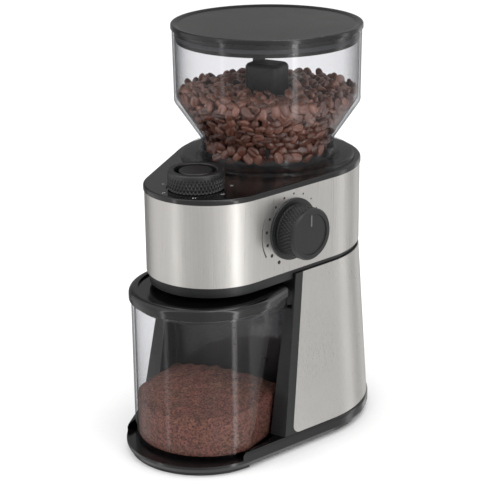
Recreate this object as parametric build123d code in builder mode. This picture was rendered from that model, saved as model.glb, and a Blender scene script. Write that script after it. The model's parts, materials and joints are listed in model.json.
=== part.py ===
from build123d import *
import os
from math import asin, atan, cos, degrees, pi, radians, sin

# Burr coffee grinder. Millimetres, +Z up, front towards -Y, grind dial on +X.
# The origin is on the surface that it stands on, under the middle of the base.
os.makedirs("parts", exist_ok=True)

# ---------------------------------------------------------------- driving dimensions
burr_y = 44.0  # the hopper, burrs, gearbox output and motor share one vertical axis
foot_height = 3.0
base_top = 14.0
base_rear = (31.0, 88.0)  # y and radius of the circles that round the plan of the base
base_front = (-60.0, 59.0)
head_rear = (burr_y, 73.0)  # the same two circles for the head
head_front = (-42.2, 49.5)
column_top = 137.0
band_bottom = 141.0
band_top = 205.0
cover_top = 209.0
cover_overhang = 0.7
steel_sheet = 1.0
wall = 2.5
gap = 0.3  # clearance between pieces that move past each other

hopper_top = 311.0
hopper_knee = 255.4
hopper_neck = 225.0
hopper_wall = 1.8
lid_radius = 74.6
lid_top = 315.0

container_radius = 56.0
container_y = -52.75
container_back = -18.3
container_floor = 8.5
container_top = 125.0
container_wall = 2.0
grip_start = -75.0  # the side grips are cut in from here to the back
grip_top = 112.0
grip_half_width = 52.2
lid_ring_radius = 57.8
lid_ring_bottom = 121.8
lid_ring_top = 130.0
chute_y = -40.0

cups_dial_y = -61.7
cups_dial_radius = 21.1
cups_dial_top = 223.2
grind_dial_z = 173.9
grind_dial_radius = 19.9
grind_dial_depth = 20.1
bezel_radius = 23.9

gear_module = 1.0
motor_teeth, wheel_teeth = 12, 42
second_teeth, output_teeth = 14, 40
ring_module = 0.8
idler_teeth, ring_teeth = 20, 96
bevel_module, bevel_teeth = 1.3, 12

# ---------------------------------------------------------------- worked-out values
gear_spacing = gear_module * (motor_teeth + wheel_teeth) / 2
wheel_y = burr_y - gear_spacing
idler_y = burr_y - ring_module * (idler_teeth + ring_teeth) / 2
head_lean = degrees(asin((head_rear[1] - head_front[1]) / (head_rear[0] - head_front[0])))
lean_cos, lean_sin = cos(radians(head_lean)), sin(radians(head_lean))
dial_reach = head_rear[1] + (idler_y - burr_y) * lean_sin  # from the steel band in to the idler's axis
dial_seat_x = dial_reach * lean_cos
grind_dial_y = idler_y - dial_reach * lean_sin
dial_seat = Vector(dial_seat_x, grind_dial_y, grind_dial_z)
dial_axis = Vector(lean_cos, -lean_sin, 0)
dial_plane = Plane(origin=dial_seat, x_dir=(lean_sin, lean_cos, 0), z_dir=dial_axis)


def save(builder, name):
    builder.part.label = name
    export_step(builder.part, f"parts/{name}.step")


def teardrop(rear, front, grow=0.0):
    """Two circles on the centre line and their common tangents, drawn in the active sketch."""
    rear_y, rear_r = rear[0], rear[1] + grow
    front_y, front_r = front[0], front[1] + grow
    lean = asin((rear_r - front_r) / (rear_y - front_y))
    rear_x, rear_touch = rear_r * cos(lean), rear_y - rear_r * sin(lean)
    front_x, front_touch = front_r * cos(lean), front_y - front_r * sin(lean)
    with BuildLine() as outline:
        Line((rear_x, rear_touch), (front_x, front_touch))
        ThreePointArc((front_x, front_touch), (0, front_y - front_r), (-front_x, front_touch))
        Line((-front_x, front_touch), (-rear_x, rear_touch))
        ThreePointArc((-rear_x, rear_touch), (0, rear_y + rear_r), (rear_x, rear_touch))
    make_face(outline.edges())


def u_outline(radius, back, corner, mode=Mode.ADD):
    """Plan of the grounds container: a round front, straight sides and a flat back."""
    with BuildLine() as outline:
        Line((radius, container_y), (radius, back - corner))
        RadiusArc((radius, back - corner), (radius - corner, back), -corner)
        Line((radius - corner, back), (corner - radius, back))
        RadiusArc((corner - radius, back), (-radius, back - corner), -corner)
        Line((-radius, back - corner), (-radius, container_y))
        ThreePointArc((-radius, container_y), (0, container_y - radius), (radius, container_y))
    make_face(outline.edges(), mode=mode)


def gear_outline(teeth, module, phase=0.0, scale=1.0):
    """A spur gear round the sketch's origin, with a tooth pointing along the phase angle."""
    pitch_r = module * teeth / 2
    root_r = (pitch_r - 1.25 * module) * scale
    tip_r = (pitch_r + 0.85 * module) * scale
    half_root = 0.30 * pi * module / 2 * 1.65 * scale
    half_tip = 0.13 * pi * module * scale
    Circle(root_r)
    with PolarLocations(0, teeth, start_angle=phase):
        Polygon(
            (root_r * 0.93, -half_root), (tip_r, -half_tip), (tip_r, half_tip), (root_r * 0.93, half_root),
            align=None,
        )


def column_form(inset, low=base_top, high=column_top):
    """The tapering body of the column, in the active part, with all its sides moved in by inset."""
    def between(start, end, z):
        share = (z - base_top) / (column_top - base_top)
        return tuple(a + (b - a) * share for a, b in zip(start, end))

    foot_rear, foot_front = (base_rear[0], base_rear[1] - 1.0), (base_front[0], base_front[1] - 1.0)
    sections = []
    for z in (low, high):
        with BuildSketch(Plane.XY.offset(z)) as section:
            teardrop(between(foot_rear, head_rear, z), between(foot_front, head_front, z), -inset)
        sections.append(section.sketch.face())
    loft(sections=sections, ruled=True)


def screw_group(name, places, head_z, head_r, head_h, shank_r, tip_z):
    """Identical pan-head screws with a cross slot, heads at head_z, tips at tip_z."""
    up = 1 if head_z > tip_z else -1
    with BuildPart() as screws:
        for x, y in places:
            with BuildSketch(Plane((x, y, head_z))):
                Circle(head_r)
            extrude(amount=up * head_h)
            with BuildSketch(Plane((x, y, head_z))):
                Circle(shank_r)
            extrude(amount=tip_z - head_z)
            with BuildSketch(Plane((x, y, head_z + up * head_h))):
                Rectangle(head_r * 1.2, 0.7)
                Rectangle(0.7, head_r * 1.2)
            extrude(amount=-up * head_h * 0.6, mode=Mode.SUBTRACT)
    save(screws, name)


# ---------------------------------------------------------------- base
boss_places = [(-50, 70), (50, 70), (-38, -78), (38, -78)]
plate_thick = 2.3
seat_z = container_floor - gap
seat_thick = 2.3

with BuildPart() as base_tray:
    with BuildSketch(Plane.XY.offset(foot_height)):
        teardrop(base_rear, base_front, -1.2)
    with BuildSketch(Plane.XY.offset(foot_height + 3)):
        teardrop(base_rear, base_front)
    loft(ruled=True)
    with BuildSketch(Plane.XY.offset(foot_height + 3)):
        teardrop(base_rear, base_front)
    extrude(amount=base_top - foot_height - 3)
    fillet(base_tray.faces().sort_by(Axis.Z)[-1].edges(), 2.5)
    with BuildSketch(Plane.XY.offset(foot_height)):
        teardrop(base_rear, base_front, -4.0)
    extrude(amount=seat_z - seat_thick - foot_height, mode=Mode.SUBTRACT)
    # the container slides into this seat from the front
    with BuildSketch(Plane.XY.offset(seat_z)):
        with Locations((0, container_y)):
            Circle(container_radius + 0.8)
        with Locations((0, container_back + 1.2 - 70)):
            Rectangle(2 * (grip_half_width + 0.8), 140)
    extrude(amount=10, mode=Mode.SUBTRACT)
    with BuildSketch(Plane.XY.offset(foot_height)):
        with Locations((0, 45)):
            SlotOverall(104, 96)
    extrude(amount=base_top, mode=Mode.SUBTRACT)
    for x, y in boss_places:
        with BuildSketch(Plane((x, y, foot_height + plate_thick))):
            Circle(4.5)
        extrude(amount=seat_z - seat_thick + 0.5 - foot_height - plate_thick)
        with BuildSketch(Plane((x, y, foot_height + plate_thick))):
            Circle(1.55)
        extrude(amount=2.4, mode=Mode.SUBTRACT)
save(base_tray, "base_tray")

with BuildPart() as base_plate:
    with BuildSketch(Plane.XY.offset(foot_height)):
        teardrop(base_rear, base_front, -4.2)
    extrude(amount=plate_thick)
    for x, y in boss_places:
        with BuildSketch(Plane((x, y, foot_height))):
            Circle(1.6)
        extrude(amount=plate_thick, mode=Mode.SUBTRACT)
        with BuildSketch(Plane((x, y, foot_height))):
            Circle(3.2)
        extrude(amount=1.4, mode=Mode.SUBTRACT)
    for row in range(5):
        with BuildSketch(Plane((0, 30 + 9 * row, foot_height))):
            SlotOverall(44, 3)
        extrude(amount=plate_thick, mode=Mode.SUBTRACT)
save(base_plate, "base_plate")

screw_group("base_screws", boss_places, foot_height + 1.4, 2.9, 1.2, 1.5, foot_height + 4.6)

with BuildPart() as rubber_feet:
    with BuildSketch():
        with Locations((0, base_front[0])):
            Circle(base_front[1] - 3)
            Circle(base_front[1] - 12, mode=Mode.SUBTRACT)
        with Locations((0, base_front[0] - base_front[1] / 2 + 62)):
            Rectangle(200, 100, mode=Mode.SUBTRACT)
    extrude(amount=foot_height)
    with BuildSketch():
        with Locations((-58, 72), (58, 72)):
            Circle(10)
    extrude(amount=foot_height)
save(rubber_feet, "rubber_feet")

# ---------------------------------------------------------------- column
panel_front_top, panel_front_foot = -7.0, -37.5  # y of the steel panel's front edge, high and low
wing_front_top, wing_front_foot = -15.5, -45.5  # y of the ridges that stand each side of the container
pocket_back = -15.0
front_reach, rear_reach = -140.0, 140.0

with BuildPart() as panel_region:
    with BuildSketch(Plane.YZ):
        with BuildLine():
            FilletPolyline(
                (rear_reach, column_top + 5), (panel_front_top, column_top + 5),
                (panel_front_foot, base_top + 0.3), (rear_reach, base_top + 0.3),
                radius=5, close=True,
            )
        make_face()
    extrude(amount=120, both=True)

with BuildPart() as column_cavity:
    column_form(1.2 + wall)
    with BuildSketch(Plane.YZ):
        with Locations((pocket_back + wall + 80, (base_top + column_top) / 2)):
            Rectangle(160, column_top - base_top + 2)
    extrude(amount=120, both=True, mode=Mode.INTERSECT)

with BuildPart() as front_strip:
    column_form(0.0)
    add(panel_region.part, mode=Mode.SUBTRACT)

with BuildPart() as column_frame:
    column_form(1.2)
    add(front_strip.part)
    with BuildSketch(Plane.YZ):
        with BuildLine():
            Polyline(
                (front_reach, base_top - 1), (wing_front_foot, base_top - 1),
                (wing_front_top, column_top + 1), (front_reach, column_top + 1), close=True,
            )
        make_face()
    extrude(amount=120, both=True, mode=Mode.SUBTRACT)
    # the pocket is as wide as the container's grips low down, and as its lid above them
    for half_width, low, high in (
        (grip_half_width + 0.7, base_top - 1, grip_top - 1.5),
        (lid_ring_radius + 0.8, grip_top - 1.5, column_top + 1),
    ):
        with BuildSketch(Plane.XY.offset(low)):
            with Locations((0, pocket_back - 40)):
                Rectangle(2 * half_width, 80)
        extrude(amount=high - low, mode=Mode.SUBTRACT)
    add(column_cavity.part, mode=Mode.SUBTRACT)
    # hole for the container switch's pin
    with BuildSketch(Plane.XZ.offset(-pocket_back - 5)):
        with Locations((30, 60)):
            Circle(2.8)
    extrude(amount=10, mode=Mode.SUBTRACT)
    # opening for the mains lead at the back
    with BuildSketch(Plane.XZ.offset(-125)):
        with Locations((0, 26)):
            Circle(5.6)
    extrude(amount=25, mode=Mode.SUBTRACT)
save(column_frame, "column_frame")

with BuildPart() as rear_panel:
    column_form(0.0)
    add(panel_region.part, mode=Mode.INTERSECT)
    with BuildPart(mode=Mode.PRIVATE) as panel_core:
        column_form(steel_sheet, base_top - 0.01, column_top + 0.01)
    add(panel_core.part, mode=Mode.SUBTRACT)
    with BuildSketch(Plane.XZ.offset(-125)):
        with Locations((0, 26)):
            Circle(5.6)
    extrude(amount=25, mode=Mode.SUBTRACT)
save(rear_panel, "rear_panel")

# ---------------------------------------------------------------- cord gland, container switch
with BuildPart() as cord_gland:
    with BuildSketch(Plane.XZ.offset(-116.8)):
        with Locations((0, 26)):
            Circle(5.4)
            Circle(3.6, mode=Mode.SUBTRACT)
    extrude(amount=8)
    with BuildSketch(Plane.XZ.offset(-110.0)):
        with Locations((0, 26)):
            Circle(8)
            Circle(3.6, mode=Mode.SUBTRACT)
    extrude(amount=2)
save(cord_gland, "cord_gland")

switch_place = (30, 60)
with BuildPart() as container_switch:
    with BuildSketch(Plane.XZ.offset(4.5)):
        with Locations(switch_place):
            RectangleRounded(20, 16, 1.5)
    extrude(amount=8)
    with BuildSketch(Plane.XZ.offset(4.5)):
        with Locations(switch_place):
            Circle(2.8)
    extrude(amount=9, mode=Mode.SUBTRACT)
    with BuildSketch(Plane.XZ.offset(-3.5)):
        with Locations((switch_place[0], switch_place[1] + 5), (switch_place[0], switch_place[1] - 5)):
            Rectangle(4, 0.8)
    extrude(amount=-6)
save(container_switch, "container_switch")

with BuildPart() as interlock_pin:
    with BuildSketch(Plane.XZ.offset(0.5)):
        with Locations(switch_place):
            Circle(2.4)
    extrude(amount=-container_back - 0.3 - 0.5)
    fillet(interlock_pin.faces().sort_by(Axis.Y)[0].edges(), 1.2)
save(interlock_pin, "interlock_pin")

# ---------------------------------------------------------------- head
def polar_places(radius, angles):
    """Points round the burr axis."""
    return [(radius * cos(radians(a)), burr_y + radius * sin(radians(a))) for a in angles]


post_places = polar_places(56.8, (38, 142, 232, 308))
board_posts = [(-22, -72), (22, -72), (-22, -26), (22, -26)]
gearbox_mounts = polar_places(47, (20, 160, 200, 340))
chamber_screw_places = polar_places(38.6, (45, 135, 215, 325))
cover_boss_inset = 8.8
front_boss = head_front[1] - cover_boss_inset
rear_bosses = polar_places(head_rear[1] - cover_boss_inset, (50, 130))
cover_bosses = rear_bosses + [(side * front_boss * 0.643, head_front[0] - front_boss * 0.766) for side in (-1, 1)]
boss_seat = 190.0
floor_z = column_top + 0.2
floor_top = floor_z + wall
lip_bottom = 133.0
funnel_seat = 194.0
board_z = 166.0

with BuildPart() as head_housing:
    with BuildSketch(Plane.XY.offset(floor_z)):
        teardrop(head_rear, head_front, -2.0)
    extrude(amount=band_bottom + 3 - floor_z)
    with BuildSketch(Plane.XY.offset(band_bottom + 0.2)):
        teardrop(head_rear, head_front, -steel_sheet - 0.15)
    extrude(amount=band_top - 0.5 - band_bottom)
    with BuildSketch(Plane.XY.offset(floor_top)):
        teardrop(head_rear, head_front, -2.0 - wall)
    extrude(amount=band_top, mode=Mode.SUBTRACT)
    # lip that hangs round the front, above the container
    with BuildSketch(Plane.XY.offset(lip_bottom)):
        teardrop(head_rear, head_front, -2.0)
        with Locations((0, pocket_back + 98.6)):
            Rectangle(200, 200, mode=Mode.SUBTRACT)
    extrude(amount=floor_z - lip_bottom)
    with BuildSketch(Plane.XY.offset(lip_bottom)):
        teardrop(head_rear, head_front, -2.0 - wall)
    extrude(amount=floor_z - lip_bottom, mode=Mode.SUBTRACT)
    # posts for the funnel and the control board, and lugs that the cover is screwed to
    for places, radius, low, high in (
        (post_places, 3.3, floor_top, funnel_seat),
        (board_posts, 3.0, floor_top, board_z),
        (cover_bosses, 5.0, boss_seat - 4, boss_seat),
    ):
        for x, y in places:
            with BuildSketch(Plane((x, y, low - 0.2))):
                Circle(radius)
            extrude(amount=high - low + 0.2)
    for x, y in cover_bosses:
        with BuildSketch(Plane((x, y, boss_seat - 10))):
            Circle(1.7)
        extrude(amount=20, mode=Mode.SUBTRACT)
    # drive opening under the burrs, chute opening, mounting holes
    with BuildSketch(Plane.XY.offset(floor_z)):
        with Locations((0, burr_y)):
            Circle(30)
        with Locations((0, chute_y)):
            Rectangle(30, 29)
        with Locations(*gearbox_mounts):
            Circle(1.7)
        with Locations(*chamber_screw_places):
            Circle(1.55)
    extrude(amount=wall, mode=Mode.SUBTRACT)
    # bush for the grind dial's shaft
    with BuildSketch(dial_plane.offset(-9)):
        Circle(7)
    extrude(amount=6)
    with BuildSketch(dial_plane.offset(-12)):
        Circle(3.05)
    extrude(amount=14, mode=Mode.SUBTRACT)
save(head_housing, "head_housing")

with BuildPart() as head_band:
    with BuildSketch(Plane.XY.offset(band_bottom)):
        teardrop(head_rear, head_front)
    extrude(amount=band_top - band_bottom)
    with BuildSketch(Plane.XY.offset(band_bottom)):
        teardrop(head_rear, head_front, -steel_sheet)
    extrude(amount=band_top, mode=Mode.SUBTRACT)
    with BuildSketch(dial_plane.offset(-10)):
        Circle(7.5)
    extrude(amount=20, mode=Mode.SUBTRACT)
save(head_band, "head_band")

cover_hole = 57.5
button_stem = 3.0
with BuildPart() as top_cover:
    with BuildSketch(Plane.XY.offset(band_top)):
        teardrop(head_rear, head_front, cover_overhang)
    extrude(amount=cover_top - band_top)
    fillet(top_cover.faces().sort_by(Axis.Z)[-1].edges(), 1.6)
    with BuildSketch(Plane.XY.offset(band_top - 6)):
        teardrop(head_rear, head_front, -2.2 - wall)
    extrude(amount=6)
    with BuildSketch(Plane.XY.offset(band_top - 6)):
        teardrop(head_rear, head_front, -4.2 - wall)
    extrude(amount=7.2, mode=Mode.SUBTRACT)
    for x, y in cover_bosses:
        with BuildSketch(Plane((x, y, boss_seat))):
            Circle(3.5)
        extrude(amount=band_top + 2 - boss_seat)
        with BuildSketch(Plane((x, y, boss_seat))):
            Circle(1.5)
        extrude(amount=10, mode=Mode.SUBTRACT)
    with BuildSketch(Plane.XY.offset(boss_seat)):
        with Locations((0, burr_y)):
            Circle(cover_hole)
        with Locations((0, cups_dial_y)):
            Circle(6.6)
    extrude(amount=30, mode=Mode.SUBTRACT)
    # shallow seat that the cups dial turns in
    with BuildSketch(Plane.XY.offset(cover_top - 0.8)):
        with Locations((0, cups_dial_y)):
            Circle(cups_dial_radius + 1.2)
    extrude(amount=2, mode=Mode.SUBTRACT)
save(top_cover, "top_cover")

screw_group("cover_screws", cover_bosses, boss_seat - 4.2, 3.0, 1.6, 1.5, boss_seat + 8)

# ---------------------------------------------------------------- burr chamber, chute and funnel
chamber_r = 34.5
chamber_in = 32.5
chamber_top = 184.3
chamber_floor = 148.5
shaft_r = 4.0
bearing_r = 9.5
lug_angles = (90, 210, 330)
lug_half = 6.0
burr_bottom, burr_top = 152.0, 172.0
burr_foot_r, burr_tip_r = 17.0, 7.5
ring_burr_r = 24.0
carrier_r = 27.5


def ring_sector(inner, outer, low, high, angle, half_angle):
    """A block that follows a circle round the burr axis, in the active part."""
    with BuildSketch(Plane((0, burr_y, low))) as sector:
        Circle(outer)
        Circle(inner, mode=Mode.SUBTRACT)
        with BuildLine():
            Polyline(
                (0, 0),
                (3 * outer * cos(radians(angle - half_angle)), 3 * outer * sin(radians(angle - half_angle))),
                (3 * outer * cos(radians(angle + half_angle)), 3 * outer * sin(radians(angle + half_angle))),
                close=True,
            )
        make_face(mode=Mode.INTERSECT)
    extrude(to_extrude=sector.sketch, amount=high - low)


with BuildPart() as grind_chamber:
    with BuildSketch(Plane((0, burr_y, floor_top))):
        Circle(42)
    extrude(amount=2.5)
    with BuildSketch(Plane((0, burr_y, floor_top))):
        Circle(chamber_r)
    extrude(amount=chamber_top - floor_top)
    with BuildSketch(Plane((0, burr_y, chamber_floor))):
        Circle(chamber_in)
    extrude(amount=chamber_top, mode=Mode.SUBTRACT)
    with BuildSketch(Plane((0, burr_y, floor_top))):
        Circle(chamber_in)
        Circle(12, mode=Mode.SUBTRACT)
    extrude(amount=chamber_floor - 2.5 - floor_top, mode=Mode.SUBTRACT)
    with BuildSketch(Plane((0, burr_y, floor_top))):
        Circle(bearing_r)
    extrude(amount=7.5, mode=Mode.SUBTRACT)
    with BuildSketch(Plane((0, burr_y, floor_top))):
        Circle(shaft_r + 0.8)
    extrude(amount=20, mode=Mode.SUBTRACT)
    # ledge for the carrier's spring, and ribs that keep the carrier's lugs from turning
    with BuildSketch(Plane((0, burr_y, 151.95))):
        Circle(chamber_in + 0.1)
        Circle(24.8, mode=Mode.SUBTRACT)
    extrude(amount=1.0)
    for lug in lug_angles:
        for side in (-1, 1):
            ring_sector(29.0, chamber_in + 0.1, 153.5, 176, lug + side * (lug_half + 3.2), 2.2)
    # arm that carries the idler
    with BuildSketch(Plane.XY.offset(chamber_top - 2.4)):
        with Locations((0, idler_y)):
            Circle(5.5)
        with Locations((0, idler_y + 8)):
            Rectangle(9, 16)
        with Locations((0, burr_y)):
            Circle(chamber_in, mode=Mode.SUBTRACT)
    extrude(amount=2.4)
    with BuildSketch(Plane((0, idler_y, chamber_top - 5))):
        Circle(2.55)
    extrude(amount=10, mode=Mode.SUBTRACT)
    # way out to the chute
    with BuildSketch(Plane((0, burr_y - chamber_r + 3, chamber_floor))):
        Rectangle(24, 9.5)
    extrude(amount=11.5, mode=Mode.SUBTRACT)
    with BuildSketch(Plane.XY.offset(floor_top)):
        with Locations(*chamber_screw_places):
            Circle(1.7)
    extrude(amount=2.5, mode=Mode.SUBTRACT)
save(grind_chamber, "grind_chamber")

screw_group("chamber_screws", chamber_screw_places, floor_top + 2.5, 2.9, 1.6, 1.5, floor_z + 0.2)

chute_start = burr_y - chamber_r - 0.3
with BuildPart() as grounds_chute:
    with BuildSketch(Plane.YZ):
        Polygon(
            (chute_start, 162), (-30, 162), (-54, 150), (-54, 132), (-26.4, 132), (-26.4, 140), (chute_start, 146.4),
            align=None,
        )
    extrude(amount=14.4, both=True)
    with BuildSketch(Plane.YZ):
        Polygon(
            (chute_start + 1, 160), (-30.5, 160), (-52, 149), (-52, 131), (-28.4, 131), (-28.4, 141.8),
            (chute_start + 1, 148.5), align=None,
        )
    extrude(amount=12.4, both=True, mode=Mode.SUBTRACT)
    # the mouth is hollowed to follow the round chamber
    with BuildSketch(Plane((0, burr_y, 130))):
        Circle(chamber_r + 0.2)
    extrude(amount=40, mode=Mode.SUBTRACT)
    with BuildSketch(Plane.XY.offset(floor_top - 0.01)):
        with Locations((0, burr_y)):
            Circle(42.2)
    extrude(amount=2.6, mode=Mode.SUBTRACT)
save(grounds_chute, "grounds_chute")

lock_ring_r = 59.0
burr_axis = Axis((0, burr_y, 0), (0, 0, 1))
side_plane = Plane((0, burr_y, 0), x_dir=(1, 0, 0), z_dir=(0, -1, 0))  # radius and height, for revolved pieces
with BuildPart() as bean_funnel:
    with BuildSketch(side_plane):
        Polygon(
            (60.4, funnel_seat), (60.4, funnel_seat + 2.2), (53.4, funnel_seat + 2.2), (51.5, 199.2),
            (24.8, 191.5), (24.8, 179.4), (26.3, 179.4), (26.3, 189.8), (48, funnel_seat), align=None,
        )
    revolve(axis=burr_axis)
save(bean_funnel, "bean_funnel")

# ---------------------------------------------------------------- grinding set
with BuildPart() as burr_carrier:
    with BuildSketch(Plane((0, burr_y, 156.4))):
        Circle(carrier_r)
        Circle(ring_burr_r, mode=Mode.SUBTRACT)
    extrude(amount=178 - 156.4)
    for lug in lug_angles:
        ring_sector(carrier_r - 0.2, 31.8, 160, 180.95, lug, lug_half)
save(burr_carrier, "burr_carrier")

with BuildPart() as upper_burr:
    with BuildSketch(side_plane):
        Polygon(
            (ring_burr_r, 156.4), (ring_burr_r, 174), (12.6, 174), (9.9, 170), (15.9, 158), (17.8, 156.4),
            align=None,
        )
    revolve(axis=burr_axis)
    for tooth in range(12):
        angle = radians(30 * tooth)
        start = Vector(13.5 * cos(angle), burr_y + 13.5 * sin(angle), 174)
        with BuildSketch(Plane(start, x_dir=(cos(angle), sin(angle), 0), z_dir=(0, 0, -1))):
            SlotOverall(7, 2.2)
        extrude(amount=9, mode=Mode.SUBTRACT)
save(upper_burr, "upper_burr")

with BuildPart() as lower_burr:
    with BuildSketch(side_plane):
        Polygon(
            (shaft_r, burr_bottom), (burr_foot_r - 1, burr_bottom), (burr_foot_r - 0.9, 155.4),
            (burr_tip_r, burr_top), (shaft_r, burr_top), align=None,
        )
    revolve(axis=burr_axis)
    for tooth in range(9):
        angle = radians(40 * tooth)
        start = Vector(13.4 * cos(angle), burr_y + 13.4 * sin(angle), burr_top)
        with BuildSketch(Plane(start, x_dir=(cos(angle), sin(angle), 0), z_dir=(0, 0, -1))):
            Rectangle(5, 2.4, rotation=18)
        extrude(amount=burr_top - 156, mode=Mode.SUBTRACT)
save(lower_burr, "lower_burr")

with BuildPart() as burr_shaft:
    with BuildSketch(Plane((0, burr_y, 114.2))):
        Circle(shaft_r)
    extrude(amount=burr_top + 1 - 114.2)
    with BuildSketch(Plane((0, burr_y, burr_top))):
        Circle(6.5)
    extrude(amount=3.2)
    chamfer(burr_shaft.faces().sort_by(Axis.Z)[-1].edges(), 0.8)
save(burr_shaft, "burr_shaft")

with BuildPart() as sweeper:
    with BuildSketch(Plane((0, burr_y, 149.2))):
        Circle(10)
        with PolarLocations(20, 4):
            Rectangle(22, 4)
        Circle(shaft_r, mode=Mode.SUBTRACT)
    extrude(amount=burr_bottom - 149.2)
    with BuildSketch(Plane((0, burr_y, 151.6))):
        Circle(34)
        Circle(15, mode=Mode.SUBTRACT)
    extrude(amount=3, mode=Mode.SUBTRACT)
save(sweeper, "sweeper")

spring_r = 26.0
with BuildPart() as carrier_spring:
    with BuildLine():
        coil = Helix(pitch=0.95, height=1.3, radius=spring_r, center=(0, burr_y, 154.5))
    with BuildSketch(Plane(coil @ 0, z_dir=coil % 0)):
        Circle(0.35)
    sweep(is_frenet=True)
save(carrier_spring, "carrier_spring")

# ---------------------------------------------------------------- grind adjustment
lift_travel = 1.0  # the ring burr rises and falls this far from the middle setting
dial_travel = 135.0
ring_travel = dial_travel * idler_teeth / ring_teeth
ramp_slope = lift_travel / radians(ring_travel)  # mm of lift for each radian of the ring
ramp_r = 30.0
ramp_z = 181.3
ring_z = 184.6
ring_high = 189.0

with BuildPart() as adjusting_ring:
    with BuildSketch(Plane((0, burr_y, ring_z))):
        gear_outline(ring_teeth, ring_module, phase=-90)
        Circle(27, mode=Mode.SUBTRACT)
    extrude(amount=ring_high - ring_z)
    for lug in lug_angles:
        direction = Vector(cos(radians(lug)), sin(radians(lug)), 0)
        middle = Vector(0, burr_y, ramp_z) + direction * ramp_r
        along = Vector(-direction.Y, direction.X, -ramp_slope / ramp_r)
        ramp_plane = Plane(origin=middle, x_dir=direction, z_dir=direction.cross(along))
        with BuildPart(mode=Mode.PRIVATE) as ramp:
            ring_sector(28.4, 31.8, ramp_z - 3, ring_z + 0.5, lug, ring_travel + lug_half + 1)
            split(bisect_by=ramp_plane, keep=Keep.TOP)
        add(ramp.part)
save(adjusting_ring, "adjusting_ring")

idler_top = 188.6
bevel_r = bevel_module * bevel_teeth / 2
bevel_face = 0.62  # the small end's share of the large end

with BuildPart() as idler_gear:
    with BuildSketch(Plane((0, idler_y, grind_dial_z + bevel_face * bevel_r))):
        gear_outline(bevel_teeth, bevel_module, phase=15 - head_lean, scale=bevel_face)
    with BuildSketch(Plane((0, idler_y, grind_dial_z + bevel_r))):
        gear_outline(bevel_teeth, bevel_module, phase=15 - head_lean)
    loft(ruled=True)
    with BuildSketch(Plane((0, idler_y, grind_dial_z + bevel_r - 0.5))):
        Circle(2.5)
    extrude(amount=idler_top - grind_dial_z - bevel_r + 0.5)
    with BuildSketch(Plane((0, idler_y, ring_z + 0.2))):
        gear_outline(idler_teeth, ring_module, phase=90 + 9)
    extrude(amount=idler_top - ring_z - 0.2)
save(idler_gear, "idler_gear")

with BuildPart() as dial_shaft:
    with BuildSketch(dial_plane.offset(-dial_reach + bevel_r - 0.5)):
        Circle(3.0)
    extrude(amount=dial_reach - bevel_r + 0.5 + 12)
save(dial_shaft, "dial_shaft")

with BuildPart() as dial_bevel:
    with BuildSketch(dial_plane.offset(-dial_reach + bevel_face * bevel_r)):
        gear_outline(bevel_teeth, bevel_module, scale=bevel_face)
    with BuildSketch(dial_plane.offset(-dial_reach + bevel_r)):
        gear_outline(bevel_teeth, bevel_module)
    loft(ruled=True)
    with BuildSketch(dial_plane.offset(-dial_reach + bevel_r)):
        Circle(5)
    extrude(amount=4)
    with BuildSketch(dial_plane.offset(-dial_reach + bevel_r - 0.5)):
        Circle(3.0)
    extrude(amount=8, mode=Mode.SUBTRACT)
save(dial_bevel, "dial_bevel")

# ---------------------------------------------------------------- gearbox
case_low, case_high = 100.0, 128.0
cover_plate = 131.5
case_ears = [(-34.0, burr_y), (34.0, burr_y), (-29.0, 14.0), (29.0, 14.0)]
axle_r = 2.5


def case_outline(grow):
    """Plan of the gearbox case round its two gear centres, in the active sketch."""
    with Locations((0, burr_y)):
        Circle(28 + grow)
    with Locations((0, wheel_y)):
        Circle(24 + grow)


with BuildPart() as gearbox_housing:
    with BuildSketch(Plane.XY.offset(case_low)):
        case_outline(wall)
        with Locations(*case_ears):
            Circle(4.5)
    extrude(amount=case_high - case_low)
    with BuildSketch(Plane.XY.offset(case_low + wall)):
        case_outline(0)
    extrude(amount=case_high, mode=Mode.SUBTRACT)
    with BuildSketch(Plane.XY.offset(case_low)):
        with Locations((0, burr_y)):
            Circle(6.0)
        with Locations(*case_ears):
            Circle(1.7)
    extrude(amount=case_high, mode=Mode.SUBTRACT)
    with BuildSketch(Plane.XY.offset(case_low)):
        with Locations((0, wheel_y)):
            Circle(axle_r + 2)
            Circle(axle_r, mode=Mode.SUBTRACT)
    extrude(amount=wall + 1)
    with BuildSketch(Plane.XY.offset(case_low)):
        with Locations((0, wheel_y)):
            Circle(axle_r)
    extrude(amount=wall, mode=Mode.SUBTRACT)
save(gearbox_housing, "gearbox_housing")

with BuildPart() as gearbox_cover:
    with BuildSketch(Plane.XY.offset(case_high)):
        case_outline(wall)
        with Locations(*case_ears):
            Circle(4.5)
    extrude(amount=cover_plate - case_high)
    with BuildSketch(Plane.XY.offset(case_high)):
        with Locations((0, burr_y)):
            Circle(bearing_r + 2)
    extrude(amount=8)
    for x, y in gearbox_mounts:
        arm_angle = degrees(atan((y - burr_y) / x))
        with BuildSketch(Plane((x, y, case_high))):
            Circle(4.5)
        extrude(amount=floor_z - case_high)
        with BuildSketch(Plane((x * 0.72, burr_y + (y - burr_y) * 0.72, case_high))):
            Rectangle(27, 7, rotation=arm_angle)
        extrude(amount=cover_plate - case_high)
        with BuildSketch(Plane((x, y, case_high + 1))):
            Circle(1.5)
        extrude(amount=12, mode=Mode.SUBTRACT)
    with BuildSketch(Plane.XY.offset(case_high)):
        with Locations((0, burr_y)):
            Circle(shaft_r + 0.8)
        with Locations(*case_ears):
            Circle(1.5)
        with Locations((0, wheel_y)):
            Circle(axle_r)
    extrude(amount=10, mode=Mode.SUBTRACT)
    with BuildSketch(Plane.XY.offset(case_high + 1.5)):
        with Locations((0, burr_y)):
            Circle(bearing_r)
    extrude(amount=10, mode=Mode.SUBTRACT)
save(gearbox_cover, "gearbox_cover")

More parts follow.
